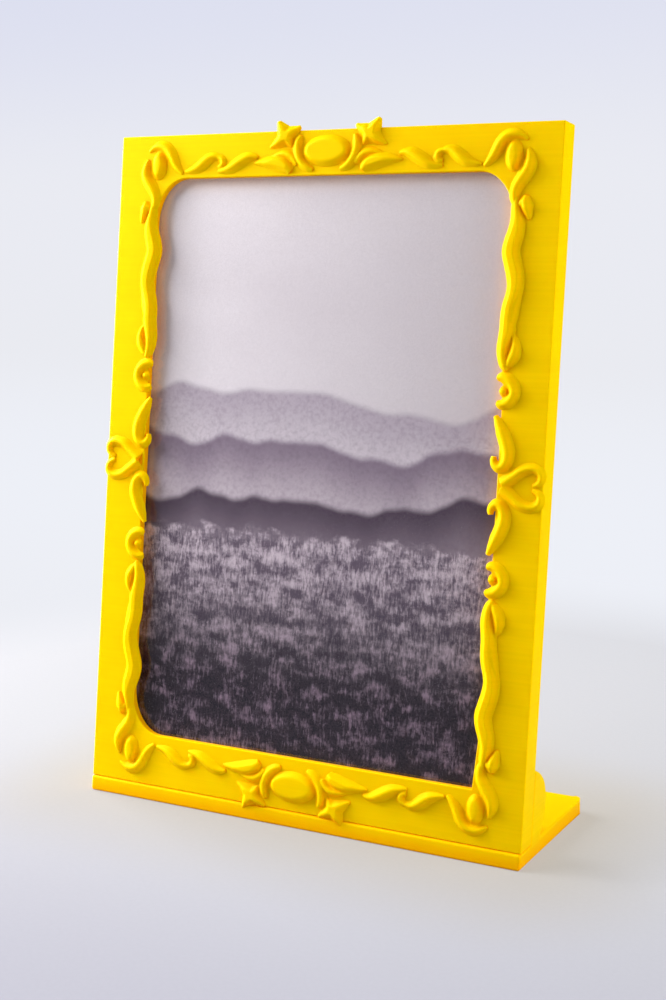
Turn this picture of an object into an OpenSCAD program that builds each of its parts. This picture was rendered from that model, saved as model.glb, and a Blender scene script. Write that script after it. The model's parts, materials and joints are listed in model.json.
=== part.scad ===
// Tabletop photo frame: a leaning front with a window, a foot with two cheeks,
// a sliding insert behind the window, a sliding back panel and applied ornament.
// The origin is the middle of the foot's underside, X to the right, Y to the rear.

/* [Print and window] */
// Width of the photo print
print_w = 100; // [80:1:140]
// Height of the photo print
print_h = 150; // [120:1:200]
// How far the front laps over each side of the print
side_overlap = 1.3; // [1:0.1:4]
// How far the front laps over the top and the bottom of the print
end_overlap = 4.7; // [3:0.1:6]

/* [Front] */
// Width of the border at each side of the window
side_border = 11.3; // [10:0.1:20]
// Height of the border above the window
top_border = 10.8; // [9:0.1:16]
// Height of the border below the window
bottom_border = 13; // [12:0.1:20]
// Thickness of the leaning front
front_t = 6; // [5.6:0.1:9]
// Thickness of the lip in front of the insert
lip_t = 2; // [1.2:0.1:2.2]
// How far the front leans back
lean = 9.6; // [5:0.1:12]

// Width of the rounding in a corner of the window
round_w = 8.7; // [3:0.1:12]
// Height of the rounding in a corner of the window
round_h = 11; // [3:0.1:14]
// How far the window's right edge slants in, down to the square corner
slant_w = 1.8; // [0:0.1:2.4]
// Height over which the window's right edge slants in
slant_h = 23; // [8:1:40]

/* [Insert] */
// Thickness of the clear cover
cover_t = 0.5; // [0.3:0.05:0.6]
// Thickness of the print
print_t = 0.25; // [0.15:0.05:0.3]
// Thickness of the backing card
card_t = 0.8; // [0.5:0.05:1]
// Thickness of the back panel
panel_t = 1.2; // [0.8:0.05:1.3]
// Gap on each face of a sliding piece
slide_gap = 0.15; // [0.1:0.05:0.2]
// Gap beside a sliding piece
side_play = 0.3; // [0.2:0.05:0.6]
// Width of the lip behind the back panel
rear_lip_w = 4; // [2:0.1:6]
// Radius of the finger notch in the back panel
notch_r = 9; // [6:0.5:14]
// Width of the thumb groove in the back panel
thumb_w = 22; // [14:1:40]
// Height of the thumb groove
thumb_h = 7; // [5:0.5:12]

/* [Foot] */
// Depth of the foot plate, front to rear
plate_d = 40; // [34:1:70]
// Thickness of the foot plate
plate_t = 3.8; // [3.2:0.1:6]
// How far the foot plate's front edge stands proud of the front
band_step = 0.4; // [0.2:0.05:1]
// Radius of the foot plate's rear corners
plate_corner_r = 2; // [1:0.5:12]
// Thickness of each cheek
cheek_w = 6; // [3:0.5:10]
// Height of each cheek above the foot plate
cheek_h = 17; // [10:0.5:24]
// How far the cheek reaches behind the front at the foot plate
cheek_foot = 5.9; // [3:0.1:12]
// How far the cheek's rear edge bows out
cheek_bow = 4.7; // [2:0.1:8]

/* [Screws] */
// Diameter of the screws in the foot
screw_d = 2.5; // [2:0.1:3]
// Diameter of a screw's head
head_d = 4.8; // [4:0.1:5]
// Height of a screw's countersunk head
head_h = 1.5; // [1:0.1:2]
// Length of a screw, with its head
screw_len = 8.6; // [7:0.1:9]
// Distance between the two screws
screw_spacing = 80; // [30:1:90]
// How far a screw's head lies above the underside
head_sink = 0.2; // [0.1:0.05:0.6]
// Gap round a screw's shank
shank_gap = 0.1; // [0.05:0.05:0.2]
// Width of the slots in a screw's head
drive_w = 0.6; // [0.4:0.1:0.8]
// Depth of the slots in a screw's head
drive_h = 0.8; // [0.4:0.1:1]

/* [Ornament] */
// Width of a vine at its widest
vine_w = 2; // [1.4:0.1:2.2]
// Height of the ornament above the front
relief_h = 1.7; // [1:0.1:3]
// Width of the medallion
medallion_w = 11.5; // [9:0.1:12]
// Height of the medallion along the front
medallion_h = 7.7; // [6:0.1:8]
// Width of the bud in each corner
bud_w = 3.9; // [3:0.1:4.2]
// Length of the bud in each corner
bud_h = 6.6; // [5:0.1:7]
// How far the ornament's middle lies below the window's
relief_drop = 0.6; // [0:0.1:1]

/* [Hidden] */
$fn = 48;

// Overrun of a cut past the face that it opens
cut = 1;
// Sides of a ridge's rounded section, and steps in each span of its curve
ridge_sides = 4;
span_steps = 2;
// Steps round a rounded corner of the window
corner_steps = 10;
// Degrees between the rings of a dome
dome_step = 18;

window_w = print_w - 2 * side_overlap;
window_h = print_h - 2 * end_overlap;
front_w = window_w + 2 * side_border;
front_h = bottom_border + window_h + top_border;
pocket_w = print_w + 2 * side_play;
pocket_floor = bottom_border - end_overlap;
cover_y = lip_t + slide_gap;
print_y = cover_y + cover_t;
card_y = print_y + print_t;
panel_y = card_y + card_t + slide_gap;
pocket_end = panel_y + panel_t + slide_gap;
panel_h = front_h - pocket_floor;

// The front's lower edge on the foot plate, and the rear face at a height above the plate
front_y = -plate_d / 2 + plate_t * tan(lean) + band_step;
function rear_at(rise) = front_y + front_t / cos(lean) + rise * tan(lean);

// The screws stand in the middle of the front's lower edge, as far up as they reach
screw_y = front_y + (front_t / cos(lean) + (screw_len + head_sink - plate_t) * tan(lean)) / 2;

// The ornament's middle, and its reach up to the window's top
relief_mid = bottom_border + window_h / 2 - relief_drop;
window_reach = window_h / 2 + relief_drop;

// Outline of a cheek's rear edge: places of its curve's two handles, as shares of bow and height
cheek_handle_shares = [[1.32, 0.87], [2, 0.57]];

// Rise of a ridge: a thin stretch keeps this share of the full height
thin_share = 0.4;
// Size of a star leaf's top edge, as a share of its outline at the front's face
star_top_share = 0.7;

// Along the top border, these shares lie at the medallion's edge and at the corner spray's hook
medallion_edge_share = 0.096;
hook_start_share = 0.7;

// Beside the window, this share lies at the lower end of the corner spray
spray_foot_share = 0.72;

// Ridges of the crest beside the medallion: across as a share along the top border,
// up as a share of its height, and the half width as a share of half a vine's width
arm_shares = [[0.13, 0.45, 0.5], [0.141, 0.55, 0.85], [0.141, 0.67, 0.75], [0.132, 0.8, 0.45]];
blade_shares = [[0.068, 0.09, 0.8], [0.103, 0.185, 1.1], [0.133, 0.295, 1.15], [0.16, 0.385, 1],
    [0.187, 0.44, 0.85], [0.217, 0.455, 0.7], [0.243, 0.44, 0.45], [0.263, 0.415, 0.15]];
crest_leaf_shares = [[0.168, 0.12, 0.35], [0.182, 0.165, 0.9], [0.215, 0.235, 1.3], [0.248, 0.275, 1.3],
    [0.282, 0.31, 0.95], [0.315, 0.32, 0.6], [0.347, 0.33, 0.15]];
medallion_place_share = 0.51;

// Outline of a star leaf about its middle, in the same shares
star_middle_share = [0.203, 0.8];
star_shares = [[0.138, 1.055], [0.133, 1.02], [0.155, 0.85], [0.165, 0.64], [0.172, 0.555], [0.208, 0.64],
    [0.238, 0.62], [0.272, 0.588], [0.278, 0.63], [0.255, 0.815], [0.243, 0.963], [0.245, 1.083],
    [0.24, 1.241], [0.228, 1.241], [0.21, 1.111], [0.177, 1.046]];

// Ridges of the vine along the top border, in the same shares
first_vine_shares = [[0.34, 0.47, 0.3], [0.368, 0.43, 0.65], [0.397, 0.35, 0.9], [0.43, 0.255, 0.95],
    [0.463, 0.19, 0.85], [0.497, 0.155, 0.55], [0.518, 0.125, 0.2]];
curl_shares = [[0.482, 0.34, 0.3], [0.493, 0.32, 0.7], [0.51, 0.305, 0.85], [0.525, 0.31, 0.7],
    [0.535, 0.33, 0.35]];
second_vine_shares = [[0.512, 0.46, 0.3], [0.535, 0.47, 0.6], [0.563, 0.415, 0.85], [0.588, 0.33, 0.95],
    [0.613, 0.25, 0.95], [0.647, 0.2, 0.8], [0.673, 0.175, 0.45], [0.683, 0.165, 0.2]];

// Ridges of a corner spray: across from the window's side as a share of the side border,
// up from the window's top as a share of the top border
hook_shares = [[-0.6, 0.11, 0.3], [-0.48, 0.22, 0.7], [-0.39, 0.41, 0.95], [-0.32, 0.58, 1.05],
    [-0.2, 0.72, 1.05], [-0.01, 0.8, 0.95], [0.19, 0.73, 0.7], [0.38, 0.66, 0.2]];
side_leaf_shares = [[0.115, -1.12, 0.6], [0.105, -0.935, 0.9], [0.07, -0.7, 1], [0.08, -0.52, 1],
    [0.13, -0.315, 0.95], [0.26, -0.09, 0.9], [0.35, 0.11, 0.8], [0.37, 0.28, 0.6], [0.345, 0.415, 0.2]];
petal_shares = [[0.35, -0.5, 0.4], [0.37, -0.61, 1.6], [0.39, -0.77, 2], [0.42, -0.915, 1.5],
    [0.47, -1.045, 0.3]];
bud_place_shares = [0.035, 0.305];

// Ridges of the scrolls beside the window: across as before, up from the ornament's middle
// as a share of the way to the corner spray
stem_shares = [[0.115, 0.708, 0.6], [0.053, 0.683, 0.95], [-0.018, 0.652, 0.95], [0, 0.628, 0.95],
    [0.053, 0.603, 0.95], [0.115, 0.579, 0.95], [0.133, 0.548, 0.9], [0.08, 0.518, 0.85],
    [0.053, 0.487, 0.85], [0.044, 0.46, 0.95], [0.027, 0.432, 1], [0, 0.408, 0.95], [-0.009, 0.383, 0.8],
    [0.009, 0.362, 0.7], [0.071, 0.345, 0.6], [0.14, 0.338, 0.35]];
side_blade_shares = [[0.363, 0.545, 0.2], [0.292, 0.52, 0.55], [0.239, 0.496, 0.65], [0.195, 0.472, 0.5],
    [0.16, 0.455, 0.2]];
small_scroll_shares = [[0.292, 0.414, 0.3], [0.372, 0.395, 0.7], [0.407, 0.376, 0.9], [0.372, 0.359, 0.8],
    [0.283, 0.352, 0.6], [0.204, 0.357, 0.5], [0.168, 0.37, 0.35]];
large_scroll_shares = [[0, 0.321, 0.5], [0.142, 0.313, 0.8], [0.292, 0.295, 1], [0.372, 0.266, 1.05],
    [0.336, 0.239, 1], [0.221, 0.223, 0.9], [0.08, 0.219, 0.8], [-0.035, 0.229, 0.5]];
scroll_hook_shares = [[0.133, 0.292, 0.3], [0.044, 0.295, 0.5], [-0.08, 0.291, 0.3]];
scroll_eye_shares = [[-0.062, 0.262, 0.4], [0.018, 0.262, 0.95], [0.106, 0.262, 0.7]];
s_scroll_shares = [[-0.08, 0.195, 0.3], [-0.027, 0.173, 0.7], [0.053, 0.148, 0.9], [0.159, 0.122, 1],
    [0.248, 0.095, 1.1], [0.257, 0.071, 1.05], [0.186, 0.053, 1], [0.071, 0.044, 0.9],
    [-0.027, 0.055, 0.8], [-0.05, 0.075, 0.7], [-0.03, 0.09, 0.35]];
heart_shares = [[0.08, 0.01, 0.7], [0.15, 0.015, 0.9], [0.28, 0.028, 0.9], [0.42, 0.043, 0.85],
    [0.58, 0.056, 0.85], [0.77, 0.063, 0.85], [0.94, 0.054, 0.85], [1.02, 0.035, 0.8],
    [0.98, 0.02, 0.7], [0.87, 0.012, 0.6], [0.76, 0.009, 0.5]];

// Places of the corner spray's hook and of its lower end, which bound the other ornament
hook_x = window_w / 2 + side_border * hook_shares[0][0];
spray_foot = window_reach + top_border * side_leaf_shares[0][1];

// Place across the top border at a share of the way from the medallion's edge to the hook
function along_top(share) =
    let (way = (share - medallion_edge_share) / (hook_start_share - medallion_edge_share))
    medallion_w / 2 + (hook_x - medallion_w / 2) * way;

// A point's rise: the full height on a wide stretch, less on a thin one
function rise_of(width) = relief_h * min(1, thin_share + (1 - thin_share) * width);
function ridge_point(across, up, width) = [across, up, vine_w / 2 * width, rise_of(width)];
function on_top(shares) = [for (s = shares)
    ridge_point(along_top(s[0]), window_reach + top_border * s[1], s[2])];
function on_corner(shares) = [for (s = shares)
    ridge_point(window_w / 2 + side_border * s[0], window_reach + top_border * s[1], s[2])];
function on_side(shares) = [for (s = shares)
    ridge_point(window_w / 2 + side_border * s[0], spray_foot * s[1] / spray_foot_share, s[2])];

// Smooth curve through a list of points, with a share of the way from one point to the next
function between(a, b, c, d, way) =
    let (line = c - a, bend = 2 * a - 5 * b + 4 * c - d, twist = 3 * b - a - 3 * c + d)
    b + (line * way + bend * way * way + twist * way * way * way) / 2;
function smooth(points) =
    let (last = len(points) - 1)
    [for (i = [0 : last - 1], k = [0 : span_steps - 1])
        between(points[max(i - 1, 0)], points[i], points[i + 1], points[min(i + 2, last)], k / span_steps),
        points[last]];

// A ring of a ridge: half an ellipse across the curve, standing on the front's face
function heading(path, i) =
    let (ahead = path[min(i + 1, len(path) - 1)] - path[max(i - 1, 0)], along = [ahead[0], ahead[1]])
    along / norm(along);
function ring(path, i) =
    let (p = path[i], along = heading(path, i), across = [-along[1], along[0]])
    [for (k = [0 : ridge_sides])
        let (turn = 180 * k / ridge_sides, out = p[2] * cos(turn))
        [p[0] + across[0] * out, -p[3] * sin(turn), p[1] + across[1] * out]];

// Rounded ridge along a path of points, each with its place, its half width and its rise
module ridge(path) {
    rings = len(path);
    size = ridge_sides + 1;
    points = [for (i = [0 : rings - 1]) each ring(path, i)];
    skin = [for (i = [0 : rings - 2], k = [0 : size - 1])
        let (a = i * size, b = a + size, next = (k + 1) % size)
        each [[a + k, b + next, a + next], [a + k, b + k, b + next]]];
    ends = [
        [for (k = [0 : size - 1]) k],
        [for (k = [size - 1 : -1 : 0]) (rings - 1) * size + k]
    ];
    polyhedron(points = points, faces = concat(skin, ends), convexity = 4);
}

module vine(points) {
    ridge(smooth(points));
}

// Rounded boss on the front's face, long along X or up
module dome(across, up, half_w, half_h) {
    ridge([for (turn = [-90 + dome_step / 2 : dome_step : 90])
        [across + half_w * sin(turn), up, half_h * cos(turn), relief_h * cos(turn)]]);
}

// Star leaf standing on the front's face, its sides drawn in towards its middle
module star_leaf() {
    place = [along_top(star_middle_share[0]), window_reach + top_border * star_middle_share[1]];
    outline = [for (s = star_shares) [along_top(s[0]), window_reach + top_border * s[1]] - place];
    translate([place[0], 0, place[1]])
        rotate([90, 0, 0])
            linear_extrude(height = relief_h, scale = star_top_share)
                polygon(outline);
}

// The front's own frame: its lower edge on the foot plate, leaning back
module leaning() {
    translate([0, front_y, plate_t])
        rotate([-lean, 0, 0])
            children();
}

// The ornament's frame: its middle on the front's face
module on_front() {
    leaning() translate([0, 0, relief_mid]) children();
}

module foot_profile() {
    polygon([[-plate_d / 2, 0], [plate_d / 2, 0], [plate_d / 2, plate_t],
        [-plate_d / 2 + plate_t * tan(lean), plate_t]]);
}

// Solid of the front above the foot plate, before its cuts
module front_blank() {
    foot = front_t * tan(lean);
    rotate([90, 0, 90])
        translate([0, 0, -front_w / 2])
            linear_extrude(height = front_w)
                polygon([[0, 0], [front_t, foot], [front_t, front_h], [0, front_h]]);
}

module screw_places() {
    for (side = [-1, 1])
        translate([side * screw_spacing / 2, screw_y, head_sink])
            children();
}

module screw_shape(gap) {
    cylinder(h = head_h, d1 = head_d, d2 = screw_d);
    cylinder(h = screw_len + gap, d = screw_d + 2 * gap);
}

module front_frame() {
    color("gold")
        difference() {
            leaning()
                difference() {
                    front_blank();
                    window_opening();
                    translate([-pocket_w / 2, lip_t, pocket_floor])
                        cube([pocket_w, pocket_end - lip_t, front_h]);
                    rear_opening();
                }
            screw_places() screw_shape(shank_gap);
        }
}

// Opening in the lip, with three rounded corners and, below a slanting edge, a square one
module window_opening() {
    half = window_w / 2;
    low = bottom_border;
    high = bottom_border + window_h;
    corners = [[half, high, 0], [-half, high, 90], [-half, low, 180]];
    translate([0, front_t, 0])
        rotate([90, 0, 0])
            linear_extrude(height = front_t + cut)
                polygon(concat(
                    [for (c = corners, k = [0 : corner_steps])
                        let (turn = c[2] + 90 * k / corner_steps)
                        [c[0] - sign(c[0]) * round_w + round_w * cos(turn),
                            c[1] + (c[1] == high ? -1 : 1) * round_h + round_h * sin(turn)]],
                    [[half - slant_w, low], [half, low + slant_h]]
                ));
}

// Opening behind the back panel, with rounded lower corners, open at the top
module rear_opening() {
    opening_w = pocket_w - 2 * rear_lip_w;
    low = pocket_floor + rear_lip_w;
    translate([0, front_t + cut, 0])
        rotate([90, 0, 0])
            linear_extrude(height = front_t + cut - lip_t) {
                translate([-opening_w / 2, low + rear_lip_w])
                    square([opening_w, front_h]);
                translate([-opening_w / 2 + rear_lip_w, low])
                    square([opening_w - 2 * rear_lip_w, front_h]);
                for (side = [-1, 1])
                    translate([side * (opening_w / 2 - rear_lip_w), low + rear_lip_w])
                        circle(r = rear_lip_w);
            }
}

// Profile of a cheek: along the front's rear face, over the top and down its bowed rear edge
module cheek_profile() {
    top = [rear_at(cheek_h), cheek_h];
    foot = [rear_at(0) + cheek_foot, 0];
    handles = [for (s = cheek_handle_shares) [top[0] + cheek_bow * s[0], cheek_h * s[1]]];
    steps = 12;
    polygon(concat(
        [[rear_at(0), 0]],
        [for (k = [0 : steps])
            let (w = k / steps, v = 1 - w)
            v * v * v * top + 3 * v * v * w * handles[0] + 3 * v * w * w * handles[1] + w * w * w * foot]
    ));
}

module stand() {
    color("gold")
        difference() {
            union() {
                intersection() {
                    rotate([90, 0, 90])
                        translate([0, 0, -front_w / 2])
                            linear_extrude(height = front_w)
                                foot_profile();
                    foot_outline();
                }
                for (side = [-1, 1])
                    translate([side * (front_w - cheek_w) / 2 - cheek_w / 2, 0, plate_t])
                        rotate([90, 0, 90])
                            linear_extrude(height = cheek_w)
                                cheek_profile();
            }
            screw_places() screw_shape(shank_gap);
            screw_places()
                translate([0, 0, -head_sink - cut])
                    cylinder(h = head_sink + cut, d = head_d);
        }
}

// Foot plate seen from above, with rounded rear corners
module foot_outline() {
    r = plate_corner_r;
    linear_extrude(height = plate_t) {
        translate([-front_w / 2, -plate_d / 2])
            square([front_w, plate_d - r]);
        translate([-front_w / 2 + r, -plate_d / 2])
            square([front_w - 2 * r, plate_d]);
        for (side = [-1, 1])
            translate([side * (front_w / 2 - r), plate_d / 2 - r])
                circle(r = r);
    }
}

module stand_screws() {
    color("silver")
        screw_places()
            difference() {
                screw_shape(0);
                for (turn = [0, 90])
                    rotate([0, 0, turn])
                        translate([-head_d / 4, -drive_w / 2, -cut])
                            cube([head_d / 2, drive_w, drive_h + cut]);
            }
}

// A sheet of the insert, standing on the pocket's floor
module sheet(y, thickness) {
    leaning()
        translate([-print_w / 2, y, pocket_floor])
            cube([print_w, thickness, print_h]);
}

module clear_cover() {
    color("lightcyan", 0.4) sheet(cover_y, cover_t);
}

module photo_print() {
    color("thistle") sheet(print_y, print_t);
}

module backing_card() {
    color("tan") sheet(card_y, card_t);
}

module back_panel() {
    color("gold")
        leaning()
            difference() {
                translate([-print_w / 2, panel_y, pocket_floor])
                    cube([print_w, panel_t, panel_h]);
                translate([0, panel_y - cut, front_h])
                    rotate([-90, 0, 0])
                        cylinder(h = panel_t + 2 * cut, r = notch_r);
                thumb_groove();
            }
}

// Shallow groove for the thumb, below the finger notch
module thumb_groove() {
    r = thumb_h / 2;
    translate([0, panel_y + panel_t / 2, front_h - notch_r - thumb_h])
        rotate([-90, 0, 0])
            linear_extrude(height = panel_t) {
                square([thumb_w - thumb_h, thumb_h], center = true);
                for (side = [-1, 1])
                    translate([side * (thumb_w - thumb_h) / 2, 0])
                        circle(r = r);
            }
}

// Half of the crest at the top, to the right of its medallion
module crest_side() {
    for (shares = [arm_shares, blade_shares, crest_leaf_shares])
        vine(on_top(shares));
    star_leaf();
}

module crest() {
    dome(0, window_reach + top_border * medallion_place_share, medallion_w / 2, medallion_h / 2);
    crest_side();
    mirror([1, 0, 0]) crest_side();
}

module border_vine() {
    for (shares = [first_vine_shares, curl_shares, second_vine_shares])
        vine(on_top(shares));
}

module spray() {
    for (shares = [hook_shares, side_leaf_shares, petal_shares])
        vine(on_corner(shares));
    dome(window_w / 2 + side_border * bud_place_shares[0], window_reach + top_border * bud_place_shares[1],
        bud_w / 2, bud_h / 2);
}

module side_scrolls() {
    for (shares = [stem_shares, side_blade_shares, small_scroll_shares, large_scroll_shares,
            scroll_hook_shares, scroll_eye_shares])
        vine(on_side(shares));
}

module half_heart() {
    vine(on_side(heart_shares));
    vine(on_side(s_scroll_shares));
}

module heart() {
    half_heart();
    mirror([0, 0, 1]) half_heart();
}

module flipped() {
    mirror([0, 0, 1]) children();
}

module to_left() {
    mirror([1, 0, 0]) children();
}

module top_crest() {
    color("gold") on_front() crest();
}

// The lower crest rests on the foot plate's front edge where it hangs over it
module bottom_crest() {
    color("gold")
        difference() {
            on_front() flipped() crest();
            rotate([90, 0, 90])
                translate([0, 0, -front_w / 2])
                    linear_extrude(height = front_w)
                        foot_profile();
        }
}

module top_left_vine() {
    color("gold") on_front() to_left() border_vine();
}

module top_right_vine() {
    color("gold") on_front() border_vine();
}

module bottom_left_vine() {
    color("gold") on_front() flipped() to_left() border_vine();
}

module bottom_right_vine() {
    color("gold") on_front() flipped() border_vine();
}

module top_left_spray() {
    color("gold") on_front() to_left() spray();
}

module top_right_spray() {
    color("gold") on_front() spray();
}

module bottom_left_spray() {
    color("gold") on_front() flipped() to_left() spray();
}

module bottom_right_spray() {
    color("gold") on_front() flipped() spray();
}

module left_upper_scrolls() {
    color("gold") on_front() to_left() side_scrolls();
}

module left_lower_scrolls() {
    color("gold") on_front() flipped() to_left() side_scrolls();
}

module right_upper_scrolls() {
    color("gold") on_front() side_scrolls();
}

module right_lower_scrolls() {
    color("gold") on_front() flipped() side_scrolls();
}

module left_heart() {
    color("gold") on_front() to_left() heart();
}

module right_heart() {
    color("gold") on_front() heart();
}

front_frame();
stand();
stand_screws();
clear_cover();
photo_print();
backing_card();
back_panel();
top_crest();
bottom_crest();
top_left_vine();
top_right_vine();
bottom_left_vine();
bottom_right_vine();
top_left_spray();
top_right_spray();
bottom_left_spray();
bottom_right_spray();
left_upper_scrolls();
left_lower_scrolls();
right_upper_scrolls();
right_lower_scrolls();
left_heart();
right_heart();
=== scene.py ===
import json
import math

import bmesh
import bpy
from mathutils import Matrix, Vector


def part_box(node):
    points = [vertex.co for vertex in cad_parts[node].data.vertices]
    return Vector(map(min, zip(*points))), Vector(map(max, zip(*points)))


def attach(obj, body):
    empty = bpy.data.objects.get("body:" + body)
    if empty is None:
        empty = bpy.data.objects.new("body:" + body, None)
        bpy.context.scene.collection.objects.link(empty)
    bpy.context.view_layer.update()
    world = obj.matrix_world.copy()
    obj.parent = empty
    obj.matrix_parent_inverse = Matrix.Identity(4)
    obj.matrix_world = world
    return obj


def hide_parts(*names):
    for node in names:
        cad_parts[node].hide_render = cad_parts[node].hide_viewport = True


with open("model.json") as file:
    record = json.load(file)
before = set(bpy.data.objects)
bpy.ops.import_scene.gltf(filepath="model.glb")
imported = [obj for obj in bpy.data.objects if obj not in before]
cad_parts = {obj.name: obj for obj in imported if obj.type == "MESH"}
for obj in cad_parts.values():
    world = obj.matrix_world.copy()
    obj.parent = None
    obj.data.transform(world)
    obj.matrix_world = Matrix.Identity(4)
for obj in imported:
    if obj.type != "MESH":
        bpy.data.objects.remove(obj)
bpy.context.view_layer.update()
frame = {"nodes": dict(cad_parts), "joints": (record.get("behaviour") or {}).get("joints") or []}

MM = 0.001
NODES = frame["nodes"]

# The front leans along the way that the print slides. Its own frame is in millimetres:
# X to the right, Y into the front from its face, Z up along it from its lower edge.
UP = Vector(frame["joints"][0]["axis"]).normalized()
LEAN = math.atan2(UP.y, UP.z)
FRONT_LOW, FRONT_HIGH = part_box("front_frame")
ON_FRONT = (Matrix.Translation((0, FRONT_LOW.y, FRONT_LOW.z))
            @ Matrix.Rotation(-LEAN, 4, "X") @ Matrix.Scale(MM, 4))

# Sizes of the front, in millimetres
WINDOW_W = 97.4
WINDOW_H = 140.6
BOTTOM_BORDER = 13
RELIEF_DROP = 0.6
RELIEF_MID = BOTTOM_BORDER + WINDOW_H / 2 - RELIEF_DROP
WINDOW_REACH = WINDOW_H / 2 + RELIEF_DROP

# Ornament, in millimetres: height of a boss, depth of its root in the front, half width and
# height of a full ridge, half sizes and places of the medallion and the bud
RELIEF_H = 1.3
RELIEF_ROOT = 0.8
VINE_FOOT = 1.8
VINE_RISE = 1.4
MEDALLION = (6.6, 3.9)
MEDALLION_UP = 5.75
BUD = (2.3, 3.7)
BUD_PLACE = (-0.5, 3.3)
BOSS_POINTS = 64
STROKE_STEPS = 10

# How the strokes of a motif grow together: grain in millimetres, then passes of smoothing
GRAIN = 0.15
SMOOTHING = 14
SMOOTH_SHARE = 0.5

# Half of a ridge's section, from its top to its foot: across and up as shares
SECTION = [(0, 1), (0.14, 0.98), (0.28, 0.9), (0.42, 0.75), (0.56, 0.55), (0.7, 0.35),
           (0.84, 0.18), (1, 0.06), (1.12, 0), (1.12, -0.4)]

# Strokes along the top border, in millimetres: across from the middle, up from the window's
# top, and width as a share of a full ridge
ARM = [(3.6, 1.3, 0.35), (5.2, 1.9, 0.65), (6.7, 3.1, 0.8), (7.7, 4.8, 0.85), (8.05, 6.5, 0.8),
       (7.9, 8.2, 0.7), (7.3, 9.5, 0.4)]
BLADE = [(8, 2.6, 0.5), (8.9, 3.9, 0.7), (10.3, 4.9, 0.75), (11.9, 5.2, 0.65), (13.4, 5.1, 0.45),
         (15, 4.8, 0.2)]
CREST_LEAF = [(9.7, 1, 0.55), (10.7, 2, 0.95), (12.3, 2.8, 1.1), (14.2, 3.2, 1.05),
              (16.2, 3.3, 0.85), (18.2, 3.3, 0.55), (20.4, 3.2, 0.2)]
STAR_ACROSS = [(7.5, 11.7, 0.25), (8.6, 11, 0.55), (10, 10.3, 0.9), (11.6, 9.3, 1.2),
               (13.2, 8.3, 0.9), (14.8, 7.4, 0.5), (16, 6.8, 0.2)]
STAR_UP = [(9.7, 6.9, 0.25), (10.2, 7.7, 0.6), (10.8, 8.6, 0.95), (11.7, 9.6, 1.2),
           (12.7, 11.2, 0.9), (13.4, 12.3, 0.55), (13.9, 13.1, 0.3)]
FIRST_VINE = [(19.2, 4.6, 0.3), (20.6, 4.8, 0.55), (22.2, 4.6, 0.8), (23.8, 3.9, 0.9),
              (25.4, 3, 0.9), (27, 2.2, 0.8), (28.8, 1.7, 0.55), (30.8, 1.4, 0.25)]
CURL = [(30.7, 2.6, 0.35), (29.8, 2.7, 0.5), (29.2, 3.4, 0.6), (29.5, 4.4, 0.55), (30.6, 5, 0.45)]
SECOND_VINE = [(30.6, 5, 0.45), (32.1, 5.1, 0.65), (33.6, 4.5, 0.85), (35.1, 3.4, 0.9),
               (36.6, 2.5, 0.8), (38.4, 1.9, 0.55), (40.5, 1.6, 0.25)]

# Strokes of a corner spray: across from the window's side, up from its top
HOOK = [(-7.7, 1.1, 0.3), (-6.3, 2.4, 0.6), (-5, 4.2, 0.8), (-4.1, 5.9, 0.85), (-2.9, 7.3, 0.85),
        (-1.5, 8, 0.8), (0, 8.1, 0.7), (1.3, 7.7, 0.5), (2.8, 6.8, 0.25)]
SIDE_LEAF = [(2.9, 4.9, 0.3), (3.4, 3.2, 0.65), (3.5, 1.6, 0.9), (3, 0, 0.95), (2.1, -1.4, 0.95),
             (1.1, -2.8, 0.9), (0.4, -4.2, 0.8), (0.2, -5.8, 0.7), (0.6, -7.6, 0.5)]
PETAL = [(4.2, -11.1, 0.25), (3.8, -9.8, 0.6), (3.3, -8.4, 0.9), (3, -7, 0.9), (3.1, -5.6, 0.45)]
PETAL_ROOT = [(1.2, -8.2, 0.4), (2.1, -7.4, 0.7), (3.1, -6.8, 0.8)]

# Strokes beside the window: across from its side, up from the ornament's middle
STEM = [(0.7, 65, 0.5), (0.9, 62.6, 0.75), (1.3, 60, 0.95), (1.1, 57.3, 1.1), (0.4, 54.8, 1.15),
        (0.1, 52.8, 1.15), (0.7, 50.3, 1.15), (1.4, 47.8, 1.15), (1.7, 45.3, 1.1), (1.4, 43, 1.05),
        (0.7, 40.4, 1.05), (0.4, 37.8, 1.05), (0.4, 35.4, 1.05), (0.1, 33.2, 1), (-0.2, 31.3, 0.95),
        (-0.2, 29.3, 0.85), (0.2, 27.3, 0.7), (0.8, 26, 0.4)]
SIDE_BLADE = [(1.1, 37, 0.75), (1.5, 39.2, 0.8), (2.1, 41.4, 0.65), (2.8, 43.2, 0.4),
              (3.4, 44.6, 0.2)]
SMALL_SCROLL = [(1.9, 34.1, 0.25), (2.4, 32.8, 0.55), (2.6, 31.2, 0.8), (2.3, 29.6, 0.9),
                (1.6, 28.2, 0.8), (1, 27, 0.55)]
LARGE_SCROLL = [(-1.5, 24.3, 0.35), (-0.1, 24.5, 0.7), (1.4, 24, 0.85), (2.5, 22.8, 0.85),
                (2.9, 21.3, 0.85), (2.4, 19.8, 0.85), (1.2, 18.7, 0.8), (-0.1, 18.4, 0.65),
                (-1.3, 18.8, 0.35)]
SCROLL_EYE = [(-0.6, 21.5, 0.45), (0.3, 21.4, 0.75), (1.2, 21.3, 0.6)]
S_SCROLL = [(-1.3, 15.9, 0.3), (-0.3, 14.1, 0.65), (0.7, 12.1, 0.9), (1.6, 10.1, 0.95),
            (2.2, 8.1, 0.95), (2.2, 6.4, 0.9), (1.6, 4.9, 0.85), (0.5, 4.2, 0.75), (-0.6, 4.7, 0.6),
            (-1.1, 5.7, 0.5), (-1, 6.7, 0.35)]
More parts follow.
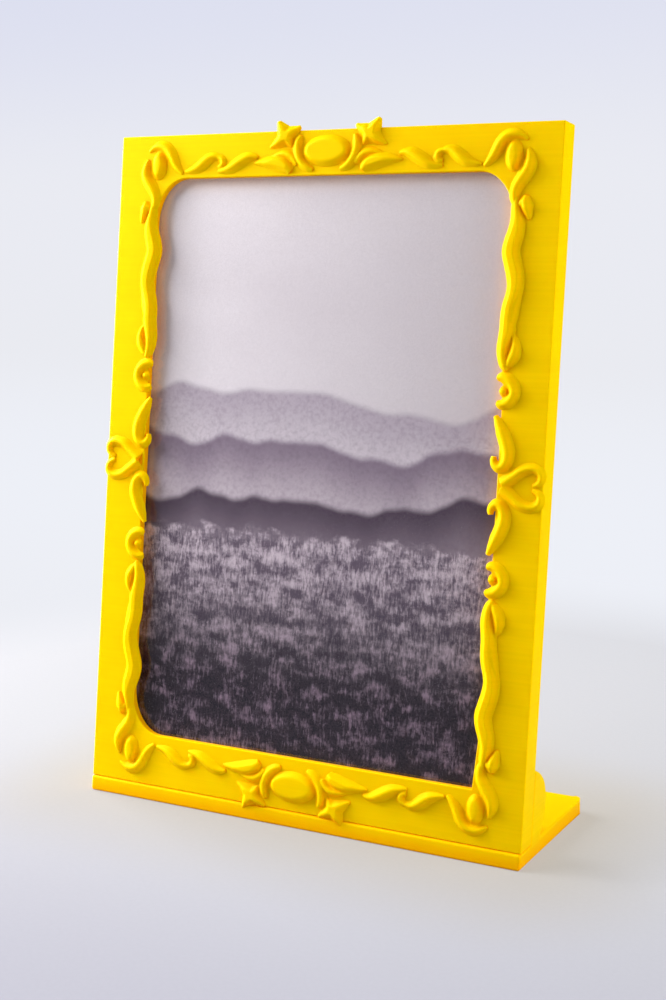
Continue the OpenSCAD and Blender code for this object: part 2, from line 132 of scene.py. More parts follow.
HEART = [(1.4, 0.3, 0.95), (2.8, 1.4, 0.85), (4.3, 2.5, 0.8), (5.9, 3.7, 0.8), (7.6, 4.3, 0.75),
         (9.2, 4.3, 0.7), (10.4, 3.6, 0.65), (10.8, 2.4, 0.6), (10.4, 1.3, 0.5), (9.5, 0.7, 0.4),
         (8.7, 0.4, 0.3)]

# Rounding of the front's and the foot's outer edges, in millimetres, which edges get it, and
# the profile of an arc
FRONT_ROUND = 0.35
FOOT_ROUND = 0.6
ROUND_STEPS = 3
SHORTEST_EDGE = 0.6
SHARP = math.radians(38)
ARC = 0.5

# A copied CAD mesh: how near points are merged, in millimetres, and how flat a flat face is
WELD = 0.002
FLAT = math.radians(0.5)

# Air between the clear cover and the print, in millimetres
AIR_GAP = 0.08
AIR_STEPS = 2

# Camera: place in metres, angles in degrees, lens and sensor in millimetres, nearest and
# farthest sight in metres
CAMERA_PLACE = (0.19764, -0.34575, 0.15716)
CAMERA_TURN = 29.344
CAMERA_TILT = 11.323
CAMERA_ROLL = -1.550
CAMERA_LENS = 59.946
CAMERA_SENSOR = 36
CAMERA_SIGHT = (0.01, 50)

# Where most of a noise's values lie
NOISE_SPAN = (0.3, 0.7)

# Yellow of the print, the orange shade painted into its grooves, how closed in a groove is for that
# painted shade, its level layers, its patches, its shine and the light that sinks in. Reaches and
# depths are in metres.
YELLOW_COLOUR = (0.97, 0.62, 0)
PAINTED_SHADE_COLOUR = (1, 0.42, 0)
PAINTED_SHADE_REACH = 0.006
PAINTED_SHADE_SPAN = (0.55, 1)
PAINTED_SHADE_SAMPLES = 8
LAYER_STRETCH = (4, 4, 1400)
LAYER_TONE = (-0.02, 0.02)
LAYER_RELIEF = 0.25
LAYER_DEPTH = 0.00006
PATCH_SCALE = 60
PATCH_TONE = (0.98, 1.02)
YELLOW_ROUGHNESS = (0.45, 0.55)
YELLOW_SHINE = 0.03
YELLOW_SHINE_TINT = (1, 0.75, 0.02, 1)
SUNK_SHARE = 0.3
SUNK_TINT = (1, 0.4, 0.05)
SUNK_REACH = 0.0012

# Clear sheet with faint smudges
CLEAR_COLOUR = (0.99, 0.99, 0.99, 1)
CLEAR_BENDING = 1.49
CLEAR_SHINE = 0.12
CLEAR_ROUGHNESS = (0.01, 0.06)
SMUDGE_SCALE = 45
SMUDGE_SPAN = (0.45, 0.75)

# The landscape's heights are in tenths of a metre from the print's middle, and its scales
# are in noise cells per metre
PRINT_STRETCH = (10, 10, 10)
PRINT_MIDDLE = (0, 0, 0.08)

# Sky from left to right, and its haze
SKY_SPAN = (-0.4, 0.5)
SKY_LEFT = (0.72, 0.67, 0.72)
SKY_RIGHT = (0.6, 0.55, 0.59)
HAZE_COLOUR = (0.52, 0.46, 0.51)
HAZE_STRETCH = (1, 1, 2)
HAZE_SCALE = 14
HAZE_SPAN = (0.35, 0.75)
HAZE_SHARE = (0, 0.3)

# Hills, far to near: height of the outline, its swing, its scale, and the colours at the
# outline and below it
HILLS = [(0.24, 0.7, 15, (0.42, 0.36, 0.43), (0.6, 0.54, 0.6)),
         (0.12, 0.5, 23, (0.2, 0.15, 0.21), (0.5, 0.43, 0.49)),
         (-0.02, 0.24, 36, (0.05, 0.03, 0.055), (0.24, 0.19, 0.24))]
HILL_EDGE = (-0.008, 0.014)
HILL_FOOT = (0, 0.16)
SPECKLE_COLOUR = (0.08, 0.05, 0.09)
SPECKLE_SCALE = 900
SPECKLE_SPAN = (0.4, 0.7)
SPECKLE_SHARE = (0, 0.22)

# Meadow: fine blades in tufts, dark near its lower edge and paler towards its top
MEADOW_TOP = -0.16
MEADOW_RAGGED = 0.1
MEADOW_EDGE = (-0.01, 0.02)
MEADOW_RISE = (-0.5, -0.14)
BLADE_STRETCH = (1, 1, 0.2)
BLADE_MIDDLE = (0, 0, 0.03)
BLADE_SCALE = 1500
BLADE_SHARE = 0.7
TUFT_STRETCH = (1, 1, 1.8)
TUFT_SCALE = 170
TUFT_SHARE = 0.8
NEAR_SPAN = (0.7, 1.05)
NEAR_DARK = (0.006, 0.003, 0.01)
NEAR_LIGHT = (0.26, 0.18, 0.25)
FAR_SPAN = (0.6, 0.95)
FAR_DARK = (0.09, 0.065, 0.1)
FAR_LIGHT = (0.56, 0.47, 0.54)

# Where light through the yellow lip is painted onto the print: from and to this far outside the
# window, in millimetres, and the tints of that painted light at its sides and its top
PAINTED_LIP_LIGHT_SPAN = (-5, 0)
PAINTED_LIP_LIGHT = (1.18, 1.04, 0.78)
PAINTED_LIP_LIGHT_TOP = (1.2, 1.12, 1.02)

# Photo paper over the landscape
PAPER_GRAIN_COLOUR = (0.2, 0.16, 0.2)
PAPER_GRAIN_SCALE = 2500
PAPER_GRAIN_SHARE = (0, 0.12)
PAPER_ROUGHNESS = (0.4, 0.5)
PAPER_SHINE = 0.15

# Grey card with fibres
CARD_DARK = (0.3, 0.28, 0.24)
CARD_LIGHT = (0.42, 0.39, 0.34)
CARD_ROUGHNESS = 0.85
FIBRE_STRETCH = (1, 1, 6)
FIBRE_SCALE = 600
FIBRE_RELIEF = 0.3
FIBRE_DEPTH = 0.00005

# Steel of the screws, with turning marks
STEEL_DARK = (0.5, 0.5, 0.51)
STEEL_LIGHT = (0.66, 0.66, 0.68)
STEEL_ROUGHNESS = (0.25, 0.42)
MARK_STRETCH = (1, 1, 8)
MARK_SCALE = 900

# Pale sweep, in metres
SWEEP_FRONT = 1.2
SWEEP_BACK = 0.9
SWEEP_TURN = 0.6
SWEEP_TURN_STEPS = 12
SWEEP_WALL = 2.4
SWEEP_HALF = 2.5

# Light and shade painted on the sweep along it: distance to the rear plus height, then the colour.
# The darker painted shade at the front fades out aside, and reaches so far to the rear.
PALE = (0.82, 0.83, 0.88)
SWEEP_PAINTED_LIGHT = [(-0.5, PALE), (-0.22, (0.6, 0.61, 0.72)), (-0.12, (0.6, 0.6, 0.73)),
               (0.02, (0.84, 0.85, 0.9)), (0.3, (0.85, 0.87, 0.93)), (0.9, (0.82, 0.83, 0.88)),
               (1.4, (0.82, 0.83, 0.89)), (1.9, (0.72, 0.74, 0.87))]
PAINTED_TONE_ASIDE = (0.3, 0.7)
PAINTED_TONE_REAR = (0, 0.3)

# The lit part of the sweep round the object: its colours, how far out the painted tones take
# over, their least share, and the yellow bounce light painted on it round the foot
FLOOR_LOW = (0.33, 0.325, 0.34)
FLOOR_HIGH = (0.35, 0.345, 0.36)
FLOOR_GRAIN_SCALE = 900
SWEEP_BLEND = (0.07, 0.24)
PAINTED_TONE_SHARE = 0.6
PAINTED_BOUNCE_REACH = 0.045
PAINTED_BOUNCE_TINT = (0.93, 0.86, 0.72)
PAINTED_BOUNCE_DEPTH = FRONT_HIGH.x / 3

# Strength of the light from all round, and of what the object mirrors
AMBIENT = 0.3
MIRRORED = 0.12

# Studio lamps: name, place and size in metres, power in watts
LAMP_AIM = Vector((0, 0, 0.08))
LAMPS = [("key", (-0.3, -0.12, 0.3), 0.2, 1.8), ("left", (-0.5, 0.05, 0.25), 0.4, 8.0),
         ("right", (0.6, 0, 0.25), 0.5, 3.4)]


# Meshes

def clean(name):
    """Object with an empty mesh, linked to the scene."""
    piece = bpy.data.objects.new(name, bpy.data.meshes.new(name))
    bpy.context.scene.collection.objects.link(piece)
    return piece


def baked(piece):
    """The piece's mesh with its modifiers applied."""
    graph = bpy.context.evaluated_depsgraph_get()
    graph.update()
    mesh = bpy.data.meshes.new_from_object(piece.evaluated_get(graph))
    piece.modifiers.clear()
    return mesh


def smoothed(mesh):
    for face in mesh.polygons:
        face.use_smooth = True


def copied(node):
    """A copy of a CAD piece's mesh in its place, with flat faces whole and normals outwards."""
    bm = bmesh.new()
    bm.from_mesh(NODES[node].data)
    bm.transform(NODES[node].matrix_world)
    bmesh.ops.remove_doubles(bm, verts=bm.verts, dist=WELD * MM)
    bmesh.ops.dissolve_limit(bm, angle_limit=FLAT, verts=bm.verts, edges=bm.edges)
    bmesh.ops.recalc_face_normals(bm, faces=bm.faces)
    return bm


# Places of the ornament's points on the front

def moved(stroke, across, up):
    return [(across + a, up + b, width) for a, b, width in stroke]


def on_top(stroke):
    return moved(stroke, 0, WINDOW_REACH)


def on_corner(stroke):
    return moved(stroke, WINDOW_W / 2, WINDOW_REACH)


def on_side(stroke):
    return moved(stroke, WINDOW_W / 2, 0)


# Ornament

def ridge_section():
    """Closed outline of a ridge's section, which the strokes are drawn with."""
    curve = bpy.data.curves.new("section", "CURVE")
    curve.dimensions = "2D"
    half = [(VINE_FOOT * across, VINE_RISE * up) for across, up in SECTION]
    outline = half + [(-across, up) for across, up in reversed(half[1:])]
    spline = curve.splines.new("POLY")
    spline.points.add(len(outline) - 1)
    for point, (across, up) in zip(spline.points, outline):
        point.co = (across, up, 0, 1)
    spline.use_cyclic_u = True
    drawn = bpy.data.objects.new("section", curve)
    bpy.context.scene.collection.objects.link(drawn)
    return drawn


def add_stroke(bm, points, section):
    """Ridge through the points, each with its own width."""
    curve = bpy.data.curves.new("stroke", "CURVE")
    curve.dimensions = "2D"
    curve.resolution_u = STROKE_STEPS
    curve.bevel_mode = "OBJECT"
    curve.bevel_object = section
    curve.use_fill_caps = True
    spline = curve.splines.new("BEZIER")
    spline.bezier_points.add(len(points) - 1)
    for knot, (across, up, width) in zip(spline.bezier_points, points):
        knot.co = (across, up, 0)
        knot.radius = width
        knot.handle_left_type = knot.handle_right_type = "AUTO"
    ridge = bpy.data.objects.new("stroke", curve)
    bpy.context.scene.collection.objects.link(ridge)
    mesh = baked(ridge)
    mesh.transform(Matrix.Rotation(math.radians(90), 4, "X"))
    bm.from_mesh(mesh)
    bpy.data.objects.remove(ridge)
    bpy.data.meshes.remove(mesh)
    bpy.data.curves.remove(curve)


def add_boss(bm, across, up, half_w, half_h):
    """Boss with the ridges' flanks round a flat top, drawn in ring by ring from its foot."""
    centre = Vector((across, RELIEF_ROOT, up))
    about = Matrix.Translation(-centre)
    upright = Matrix.Translation(centre) @ Matrix.Rotation(math.radians(90), 4, "X")
    made = bmesh.ops.create_circle(bm, cap_ends=True, segments=BOSS_POINTS, radius=1, matrix=upright)
    rim = made["verts"]
    bmesh.ops.scale(bm, verts=rim, vec=(half_w, 1, half_h), space=about)
    top = list({face for v in rim for face in v.link_faces})
    last = (half_w, half_h)
    height = -RELIEF_ROOT
    for share, rise in [(1, 0), *reversed(SECTION[:-2])]:
        made = bmesh.ops.extrude_face_region(bm, geom=top)["geom"]
        top = [f for f in made if isinstance(f, bmesh.types.BMFace)]
        ring = [v for v in made if isinstance(v, bmesh.types.BMVert)]
        drawn_in = VINE_FOOT * (1 - share)
        size = (half_w - drawn_in, half_h - drawn_in)
        bmesh.ops.scale(bm, verts=ring, vec=(size[0] / last[0], 1, size[1] / last[1]), space=about)
        level = RELIEF_H * rise
        bmesh.ops.translate(bm, verts=ring, vec=(0, height - level, 0))
        height = level
        last = size


def relief(node, section, strokes, bosses=(), flip_x=False, flip_up=False, doubled=None):
    """One motif of the ornament, with its strokes grown together as in a casting."""
    bm = bmesh.new()
    for points in strokes:
        add_stroke(bm, points, section)
    for boss in bosses:
        add_boss(bm, *boss)
    if doubled:
        both = bmesh.ops.duplicate(bm, geom=bm.verts[:] + bm.edges[:] + bm.faces[:])["geom"]
        twin = [v for v in both if isinstance(v, bmesh.types.BMVert)]
        bmesh.ops.scale(bm, verts=twin, vec=doubled)
    bmesh.ops.scale(bm, verts=bm.verts, vec=(-1 if flip_x else 1, 1, -1 if flip_up else 1))
    bmesh.ops.recalc_face_normals(bm, faces=bm.faces)
    piece = clean("ornament_" + node)
    bm.to_mesh(piece.data)
    bm.free()
    remesh = piece.modifiers.new("Grain", "REMESH")
    remesh.mode = "VOXEL"
    remesh.voxel_size = GRAIN
    piece.data = baked(piece)
    for point in piece.data.vertices:
        point.co.y = min(RELIEF_ROOT, max(-RELIEF_H, point.co.y))
    smooth = piece.modifiers.new("Smooth", "SMOOTH")
    smooth.factor = SMOOTH_SHARE
    smooth.iterations = SMOOTHING
    piece.data = baked(piece)
    piece.data.transform(ON_FRONT @ Matrix.Translation((0, 0, RELIEF_MID)))
    smoothed(piece.data)
    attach(piece, "frame")
    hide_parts(node)
    return piece


def ornament():
    """All motifs, from one quarter and its mirror images."""
    made = []
    section = ridge_section()
    crest = dict(strokes=[on_top(s) for s in (ARM, BLADE, CREST_LEAF, STAR_ACROSS, STAR_UP)],
                 bosses=[(0, WINDOW_REACH + MEDALLION_UP, *MEDALLION)], doubled=(-1, 1, 1))
    vine = dict(strokes=[on_top(s) for s in (FIRST_VINE, CURL, SECOND_VINE)])
    bud = (WINDOW_W / 2 + BUD_PLACE[0], WINDOW_REACH + BUD_PLACE[1], *BUD)
    spray = dict(strokes=[on_corner(s) for s in (HOOK, SIDE_LEAF, PETAL, PETAL_ROOT)], bosses=[bud])
    side_strokes = (STEM, SIDE_BLADE, SMALL_SCROLL, LARGE_SCROLL, SCROLL_EYE)
    scrolls = dict(strokes=[on_side(s) for s in side_strokes])
    heart = dict(strokes=[on_side(s) for s in (HEART, S_SCROLL)], doubled=(1, 1, -1))
    for flip_up, row in ((False, "top"), (True, "bottom")):
        made.append(relief(row + "_crest", section, **crest, flip_up=flip_up))
        level = "lower" if flip_up else "upper"
        for flip_x, side in ((True, "left"), (False, "right")):
            flips = dict(flip_x=flip_x, flip_up=flip_up)
            made.append(relief(f"{row}_{side}_vine", section, **vine, **flips))
            made.append(relief(f"{row}_{side}_spray", section, **spray, **flips))
            made.append(relief(f"{side}_{level}_scrolls", section, **scrolls, **flips))
    for flip_x, side in ((True, "left"), (False, "right")):
        made.append(relief(side + "_heart", section, **heart, flip_x=flip_x))
    bpy.data.objects.remove(section)
    return made


# Front, foot and clear cover

def rounded(node, width):
    """A copy of a CAD piece with its long outer edges rounded."""
    bm = copied(node)
    outer = [edge for edge in bm.edges if edge.is_manifold
             and edge.calc_length() > SHORTEST_EDGE * MM and edge.calc_face_angle_signed() > SHARP]
    bmesh.ops.bevel(bm, geom=outer, offset=width * MM, offset_type="OFFSET", affect="EDGES",
                    segments=ROUND_STEPS, profile=ARC, material=-1, clamp_overlap=False)
    piece = clean("rounded_" + node)
    bm.to_mesh(piece.data)
    bm.free()
    smoothed(piece.data)
    piece.data.set_sharp_from_angle(angle=SHARP)
    weighted = piece.modifiers.new("Weighted normals", "WEIGHTED_NORMAL")
    weighted.keep_sharp = True
    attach(piece, "frame")
    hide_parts(node)
    return piece


def pane():
    """A copy of the clear cover, a hair thinner, so that its rear face clears the print."""
    bm = copied("clear_cover")
    inwards = Vector((0, math.cos(LEAN), -math.sin(LEAN)))
    depth = max(v.co.dot(inwards) for v in bm.verts)
    rear = [v for v in bm.verts if v.co.dot(inwards) > depth - AIR_GAP * MM]
    bmesh.ops.translate(bm, verts=rear, vec=-AIR_GAP * MM * inwards)
    bmesh.ops.bevel(bm, geom=bm.edges[:], offset=AIR_GAP * MM, affect="EDGES", segments=AIR_STEPS,
                    profile=ARC, material=-1)
    piece = clean("cover_sheet")
    bm.to_mesh(piece.data)
    bm.free()
    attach(piece, "insert")
    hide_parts("clear_cover")
    return piece


# Shader nodes

def put(tree, kind, settings=None, **inputs):
    """A shader node with its settings and inputs, each a value or a socket to read."""
    made = tree.nodes.new("ShaderNode" + kind)
    for key, setting in (settings or {}).items():
        setattr(made, key, setting)
    for key, given in inputs.items():
        numbered = key[0] == "i" and key[1:].isdigit()
        socket = made.inputs[int(key[1:])] if numbered else made.inputs[key.replace("_", " ")]
        if isinstance(given, bpy.types.NodeSocket):
            tree.links.new(given, socket)
        else:
            socket.default_value = given
    return made


def material(name):
    made = bpy.data.materials.new(name)
    made.use_nodes = True
    made.node_tree.nodes.clear()
    return made, made.node_tree


def finished(tree, shader):
    put(tree, "OutputMaterial", Surface=shader)


def place(tree, scale=(1, 1, 1), middle=(0, 0, 0)):
    """The object's own coordinates about a middle, scaled."""
    where = tree.nodes.new("ShaderNodeTexCoord")
    moved_to = [-m * k for m, k in zip(middle, scale)]
    return put(tree, "Mapping", Vector=where.outputs["Object"], Location=moved_to,
               Scale=scale).outputs[0]


def value(tree, operation, first, second=0.0, third=0.0):
    return put(tree, "Math", dict(operation=operation), i0=first, i1=second, i2=third).outputs[0]


def added(tree, first, second):
    return value(tree, "ADD", first, second)


def less(tree, first, second):
    return value(tree, "SUBTRACT", first, second)


def times(tree, first, second):
    return value(tree, "MULTIPLY", first, second)


def length(tree, vector):
    return put(tree, "VectorMath", dict(operation="LENGTH"), i0=vector).outputs["Value"]


def noise(tree, vector, scale, detail=3.0, rough=0.5, warp=0.0):
    return put(tree, "TexNoise", Vector=vector, Scale=scale, Detail=detail, Roughness=rough,
               Distortion=warp).outputs["Fac"]


def mixed(tree, share, first, second, blend="MIX"):
    """Colour between the first at a share of 0 and the second at 1."""
    made = put(tree, "Mix", dict(data_type="RGBA", blend_type=blend), i0=share)
    for key, colour in ((6, first), (7, second)):
        if isinstance(colour, bpy.types.NodeSocket):
            tree.links.new(colour, made.inputs[key])
        else:
            made.inputs[key].default_value = (*colour, 1)
    return made.outputs[2]


def ranged(tree, fac, low, high, to_low=0.0, to_high=1.0, smooth=True):
    """The value carried from one range to another, and held at its ends."""
    made = put(tree, "MapRange", dict(interpolation_type="SMOOTHSTEP" if smooth else "LINEAR"),
               Value=fac, From_Min=low, From_Max=high, To_Min=to_low, To_Max=to_high)
    return made.outputs[0]


def spread(tree, fac, to_low=0.0, to_high=1.0):
    """A noise's values carried to a range."""
    return ranged(tree, fac, *NOISE_SPAN, to_low, to_high)


# Materials of the object

def yellow_plastic():
    """Saturated yellow print: fine level layers, a soft sheen and light that sinks in a little."""
    made, tree = material("printed_yellow")
    layers = noise(tree, place(tree, LAYER_STRETCH), 1, detail=4, rough=0.6)
    patches = noise(tree, place(tree), PATCH_SCALE)
    tone = added(tree, spread(tree, layers, *LAYER_TONE), spread(tree, patches, *PATCH_TONE))
    # Orange shade painted into the grooves: the more closed in a point is, the more of it
    open_air = put(tree, "AmbientOcclusion", dict(samples=PAINTED_SHADE_SAMPLES), Distance=PAINTED_SHADE_REACH)
    painted_groove_shade = ranged(tree, open_air.outputs["AO"], *PAINTED_SHADE_SPAN)
    colour = mixed(tree, painted_groove_shade, PAINTED_SHADE_COLOUR, YELLOW_COLOUR)
    grey = put(tree, "CombineColor", i0=tone, i1=tone, i2=tone)
    colour = mixed(tree, 1.0, colour, grey.outputs[0], "MULTIPLY")
    bump = put(tree, "Bump", Strength=LAYER_RELIEF, Distance=LAYER_DEPTH, Height=layers)
    body = put(tree, "BsdfPrincipled", Base_Color=colour, Normal=bump.outputs[0],
               Roughness=spread(tree, patches, *YELLOW_ROUGHNESS), Specular_IOR_Level=YELLOW_SHINE,
               Specular_Tint=YELLOW_SHINE_TINT, Subsurface_Weight=SUNK_SHARE,
               Subsurface_Radius=SUNK_TINT, Subsurface_Scale=SUNK_REACH)
    finished(tree, body.outputs["BSDF"])
    return made


def clear_plastic():
    """Clear glossy sheet that lets the lamps through, with faint smudges."""
    made, tree = material("clear_sheet")
    smudges = noise(tree, place(tree), SMUDGE_SCALE, detail=4)
    body = put(tree, "BsdfPrincipled", Base_Color=CLEAR_COLOUR, IOR=CLEAR_BENDING,
               Transmission_Weight=1.0, Specular_IOR_Level=CLEAR_SHINE,
               Roughness=ranged(tree, smudges, *SMUDGE_SPAN, *CLEAR_ROUGHNESS))
    through = put(tree, "BsdfTransparent")
    path = tree.nodes.new("ShaderNodeLightPath")
    passing = value(tree, "MAXIMUM", path.outputs["Is Shadow Ray"], path.outputs["Is Diffuse Ray"])
    both = put(tree, "MixShader", i0=passing, i1=body.outputs["BSDF"], i2=through.outputs[0])
    finished(tree, both.outputs[0])
    return made


def sky(tree, across):
    haze = noise(tree, place(tree, HAZE_STRETCH), HAZE_SCALE, detail=4, rough=0.55)
    colour = mixed(tree, ranged(tree, across, *SKY_SPAN), SKY_LEFT, SKY_RIGHT)
    return mixed(tree, ranged(tree, haze, *HAZE_SPAN, *HAZE_SHARE), colour, HAZE_COLOUR)


def hill(tree, behind, up, level, swing, scale, near, far):
    """The colour behind with one hill in front of it, mistier below its outline."""
    outline = noise(tree, place(tree, (1, 0, 0)), scale, detail=2.5, rough=0.4)
    crest = added(tree, times(tree, less(tree, outline, 0.5), swing), level)
    below = less(tree, crest, up)
    speckle = noise(tree, place(tree), SPECKLE_SCALE, rough=0.7)
    slope = mixed(tree, ranged(tree, below, *HILL_FOOT), near, far)
    dots = ranged(tree, speckle, *SPECKLE_SPAN, *SPECKLE_SHARE)
    slope = mixed(tree, dots, slope, SPECKLE_COLOUR)
    return mixed(tree, ranged(tree, below, *HILL_EDGE), behind, slope)


def meadow(tree, behind, up):
    """The colour behind with the meadow below it: fine blades of grass in tufts."""
    blades = place(tree, BLADE_STRETCH, BLADE_MIDDLE)
    blades = noise(tree, blades, BLADE_SCALE, detail=4, rough=0.7, warp=0.5)
    tufts = noise(tree, place(tree, TUFT_STRETCH), TUFT_SCALE, detail=5, rough=0.6)
    light = added(tree, times(tree, blades, BLADE_SHARE), times(tree, tufts, TUFT_SHARE))
    near = mixed(tree, ranged(tree, light, *NEAR_SPAN), NEAR_DARK, NEAR_LIGHT)
    far = mixed(tree, ranged(tree, light, *FAR_SPAN), FAR_DARK, FAR_LIGHT)
    grass = mixed(tree, ranged(tree, up, *MEADOW_RISE), near, far)
    edge = added(tree, times(tree, tufts, MEADOW_RAGGED), MEADOW_TOP)
    return mixed(tree, ranged(tree, less(tree, edge, up), *MEADOW_EDGE), behind, grass)


def landscape(tree):
    """Colour of a generic misty landscape: pale sky, three soft hills and a meadow of fine grass."""
    apart = put(tree, "SeparateXYZ", Vector=place(tree, PRINT_STRETCH, PRINT_MIDDLE))
    across, up = apart.outputs["X"], apart.outputs["Z"]
    colour = sky(tree, across)
    for row in HILLS:
        colour = hill(tree, colour, up, *row)
    return meadow(tree, colour, up)


def painted_lip_light(tree):
    """Warm light through the yellow lip round the window, painted onto the print as a tint."""
    apart = put(tree, "SeparateXYZ", Vector=place(tree, (1 / MM, 1 / MM, 1 / MM)))
    top = FRONT_LOW.z / MM + (BOTTOM_BORDER + WINDOW_H) * math.cos(LEAN)
    aside = value(tree, "ABSOLUTE", apart.outputs["X"])
    beside = ranged(tree, less(tree, aside, WINDOW_W / 2), *PAINTED_LIP_LIGHT_SPAN)
    under = ranged(tree, less(tree, apart.outputs["Z"], top), *PAINTED_LIP_LIGHT_SPAN)
    painted_lip_tint = mixed(tree, under, (1, 1, 1), PAINTED_LIP_LIGHT_TOP)
    return mixed(tree, beside, painted_lip_tint, PAINTED_LIP_LIGHT)


def photo_paper():
    """Glossy photo paper with the landscape, under fine grain."""
    made, tree = material("photo_paper")
    grain = noise(tree, place(tree), PAPER_GRAIN_SCALE, detail=2)
    grain_share = spread(tree, grain, *PAPER_GRAIN_SHARE)
    colour = mixed(tree, grain_share, landscape(tree), PAPER_GRAIN_COLOUR)
    # Light through the yellow lip, painted onto the print near the window's edges
    colour = mixed(tree, 1.0, colour, painted_lip_light(tree), "MULTIPLY")
    body = put(tree, "BsdfPrincipled", Base_Color=colour, Specular_IOR_Level=PAPER_SHINE,
               Roughness=spread(tree, grain, *PAPER_ROUGHNESS))
    finished(tree, body.outputs["BSDF"])
    return made


def card():
    """Grey card with short fibres."""
    made, tree = material("grey_card")
    fibres = noise(tree, place(tree, FIBRE_STRETCH), FIBRE_SCALE, detail=4, rough=0.7, warp=0.5)
    colour = mixed(tree, spread(tree, fibres), CARD_DARK, CARD_LIGHT)
    bump = put(tree, "Bump", Strength=FIBRE_RELIEF, Distance=FIBRE_DEPTH, Height=fibres)
    body = put(tree, "BsdfPrincipled", Base_Color=colour, Roughness=CARD_ROUGHNESS,
               Normal=bump.outputs[0])
    finished(tree, body.outputs["BSDF"])
    return made


def screw_steel():
    """Zinc-plated steel with faint turning marks."""
    made, tree = material("screw_steel")
    marks = noise(tree, place(tree, MARK_STRETCH), MARK_SCALE, rough=0.6)
    colour = mixed(tree, spread(tree, marks), STEEL_DARK, STEEL_LIGHT)
    body = put(tree, "BsdfPrincipled", Base_Color=colour, Metallic=1.0,
               Roughness=spread(tree, marks, *STEEL_ROUGHNESS))
    finished(tree, body.outputs["BSDF"])
    return made


# Backdrop, light and camera

def painted_sweep_light(tree, apart):
    """Colour that the sweep shows: painted light and shade, and painted yellow bounce light round the
    foot.
    """
    along = added(tree, apart.outputs["Y"], apart.outputs["Z"])
    ramp = tree.nodes.new("ShaderNodeValToRGB")
    ramp.color_ramp.interpolation = "EASE"
    low, high = SWEEP_PAINTED_LIGHT[0][0], SWEEP_PAINTED_LIGHT[-1][0]
    for _ in SWEEP_PAINTED_LIGHT[2:]:
        ramp.color_ramp.elements.new(0.5)
    for element, (spot, _) in zip(ramp.color_ramp.elements, SWEEP_PAINTED_LIGHT):
        element.position = (spot - low) / (high - low)
    for element, (_, colour) in zip(ramp.color_ramp.elements, SWEEP_PAINTED_LIGHT):
        element.color = (*colour, 1)
    tree.links.new(ranged(tree, along, low, high, smooth=False), ramp.inputs[0])
    aside = ranged(tree, value(tree, "ABSOLUTE", apart.outputs["X"]), *PAINTED_TONE_ASIDE)
    aside = times(tree, aside, ranged(tree, along, *PAINTED_TONE_REAR, 1, 0))
    painted_tones = mixed(tree, aside, ramp.outputs[0], PALE)
    # Yellow bounce light painted on the sweep round the foot
    past = []
    for axis, half in (("X", FRONT_HIGH.x), ("Y", PAINTED_BOUNCE_DEPTH)):
        outside = less(tree, value(tree, "ABSOLUTE", apart.outputs[axis]), half)
        past.append(value(tree, "MAXIMUM", outside, 0))
    away = length(tree, put(tree, "CombineXYZ", i0=past[0], i1=past[1]).outputs[0])
    painted_bounce = mixed(tree, ranged(tree, away, 0, PAINTED_BOUNCE_REACH, 1, 0), (1, 1, 1), PAINTED_BOUNCE_TINT)
    return mixed(tree, 1.0, painted_tones, painted_bounce, "MULTIPLY")


def backdrop():
    """Pale sweep: it takes the object's shadow near it and shows painted light and shade farther off.
    """
    made, tree = material("pale_sweep")
    apart = put(tree, "SeparateXYZ", Vector=place(tree))
    fine = noise(tree, place(tree), FLOOR_GRAIN_SCALE, detail=2)
    lit = put(tree, "BsdfDiffuse", Color=mixed(tree, spread(tree, fine), FLOOR_LOW, FLOOR_HIGH))
    shown = put(tree, "Emission", Color=painted_sweep_light(tree, apart), Strength=1.0)
    mirrored = put(tree, "Emission", Color=(1, 1, 1, 1), Strength=MIRRORED)
    far = ranged(tree, length(tree, place(tree)), *SWEEP_BLEND)
    path = tree.nodes.new("ShaderNodeLightPath")
    # Near the object the painted light and shade still make up at least a share, softening its shadow
    seen = times(tree, value(tree, "MAXIMUM", far, PAINTED_TONE_SHARE), path.outputs["Is Camera Ray"])
    glossy = times(tree, far, path.outputs["Is Glossy Ray"])
    both = put(tree, "MixShader", i0=glossy, i1=lit.outputs[0], i2=mirrored.outputs[0])
    both = put(tree, "MixShader", i0=seen, i1=both.outputs[0], i2=shown.outputs[0])
    finished(tree, both.outputs[0])
    return made


def sweep():
    """Floor that curves up into a wall far behind, drawn by its side outline."""
    bm = bmesh.new()
    angles = [math.radians(90 * step / SWEEP_TURN_STEPS) for step in range(SWEEP_TURN_STEPS + 1)]
    turn = [(SWEEP_BACK + SWEEP_TURN * math.sin(a), SWEEP_TURN * (1 - math.cos(a))) for a in angles]
    outline = [(-SWEEP_FRONT, 0)] + turn + [(SWEEP_BACK + SWEEP_TURN, SWEEP_WALL)]
    rows = [[bm.verts.new((side * SWEEP_HALF, y, z)) for y, z in outline] for side in (-1, 1)]
    for step in range(len(outline) - 1):
        bm.faces.new((rows[0][step], rows[1][step], rows[1][step + 1], rows[0][step + 1]))
    floor = clean("pale_sweep")
    bm.to_mesh(floor.data)
    bm.free()
    smoothed(floor.data)
    floor.data.materials.append(backdrop())


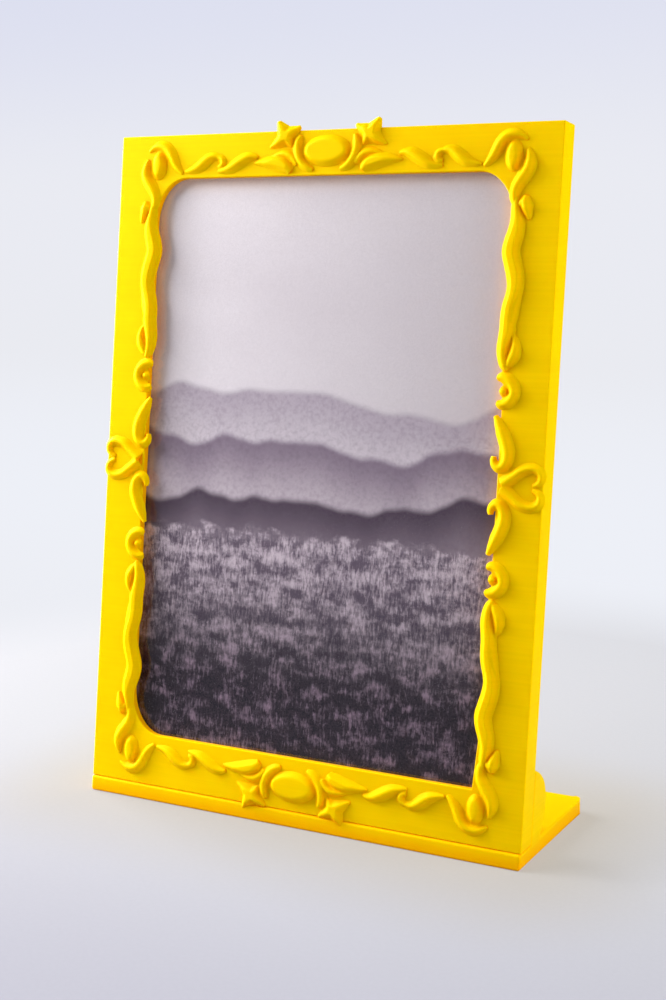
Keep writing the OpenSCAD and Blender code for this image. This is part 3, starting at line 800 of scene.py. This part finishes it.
def surroundings():
    """World that lights plainly from all round and looks pale to the camera."""
    world = bpy.data.worlds.new("studio")
    bpy.context.scene.world = world
    world.use_nodes = True
    tree = world.node_tree
    tree.nodes.clear()
    path = tree.nodes.new("ShaderNodeLightPath")
    level = ranged(tree, path.outputs["Is Glossy Ray"], 0, 1, AMBIENT, MIRRORED, smooth=False)
    around = put(tree, "Background", Color=(1, 1, 1, 1), Strength=level)
    shown = put(tree, "Background", Color=(*PALE, 1))
    both = put(tree, "MixShader", i0=path.outputs["Is Camera Ray"], i1=around.outputs[0],
               i2=shown.outputs[0])
    put(tree, "OutputWorld", Surface=both.outputs[0])


def lamps():
    for name, spot, size, power in LAMPS:
        lamp = bpy.data.lights.new(name, "AREA")
        lamp.size = size
        lamp.energy = power
        lit = bpy.data.objects.new(name, lamp)
        lit.location = spot
        lit.rotation_euler = (LAMP_AIM - lit.location).to_track_quat("-Z", "Y").to_euler()
        bpy.context.scene.collection.objects.link(lit)


def camera():
    """The camera at the photograph's viewing angle."""
    turn, tilt, roll = (math.radians(a) for a in (CAMERA_TURN, CAMERA_TILT, CAMERA_ROLL))
    ahead = Vector((-math.sin(turn) * math.cos(tilt), math.cos(turn) * math.cos(tilt), -math.sin(tilt)))
    right = ahead.cross(Vector((0, 0, 1))).normalized()
    above = right.cross(ahead)
    turned = right * math.cos(roll) + above * math.sin(roll)
    raised = above * math.cos(roll) - right * math.sin(roll)
    facing = Matrix((turned, raised, -ahead)).transposed().to_4x4()
    data = bpy.data.cameras.new("camera")
    data.lens = CAMERA_LENS
    data.sensor_width = CAMERA_SENSOR
    data.clip_start, data.clip_end = CAMERA_SIGHT
    seen = bpy.data.objects.new("camera", data)
    seen.matrix_world = Matrix.Translation(CAMERA_PLACE) @ facing
    bpy.context.scene.collection.objects.link(seen)
    bpy.context.scene.camera = seen


def dress(name, made):
    """A material on a CAD piece that is shown as it is."""
    slots = NODES[name].data.materials
    slots.clear()
    slots.append(made)


# The scene

bpy.context.scene.view_settings.view_transform = "Standard"
camera()
sweep()
surroundings()
lamps()
YELLOW = yellow_plastic()
for motif in ornament():
    motif.data.materials.append(YELLOW)
for name, width in (("front_frame", FRONT_ROUND), ("stand", FOOT_ROUND)):
    rounded(name, width).data.materials.append(YELLOW)
dress("back_panel", YELLOW)
dress("stand_screws", screw_steel())
dress("photo_print", photo_paper())
dress("backing_card", card())
pane().data.materials.append(clear_plastic())
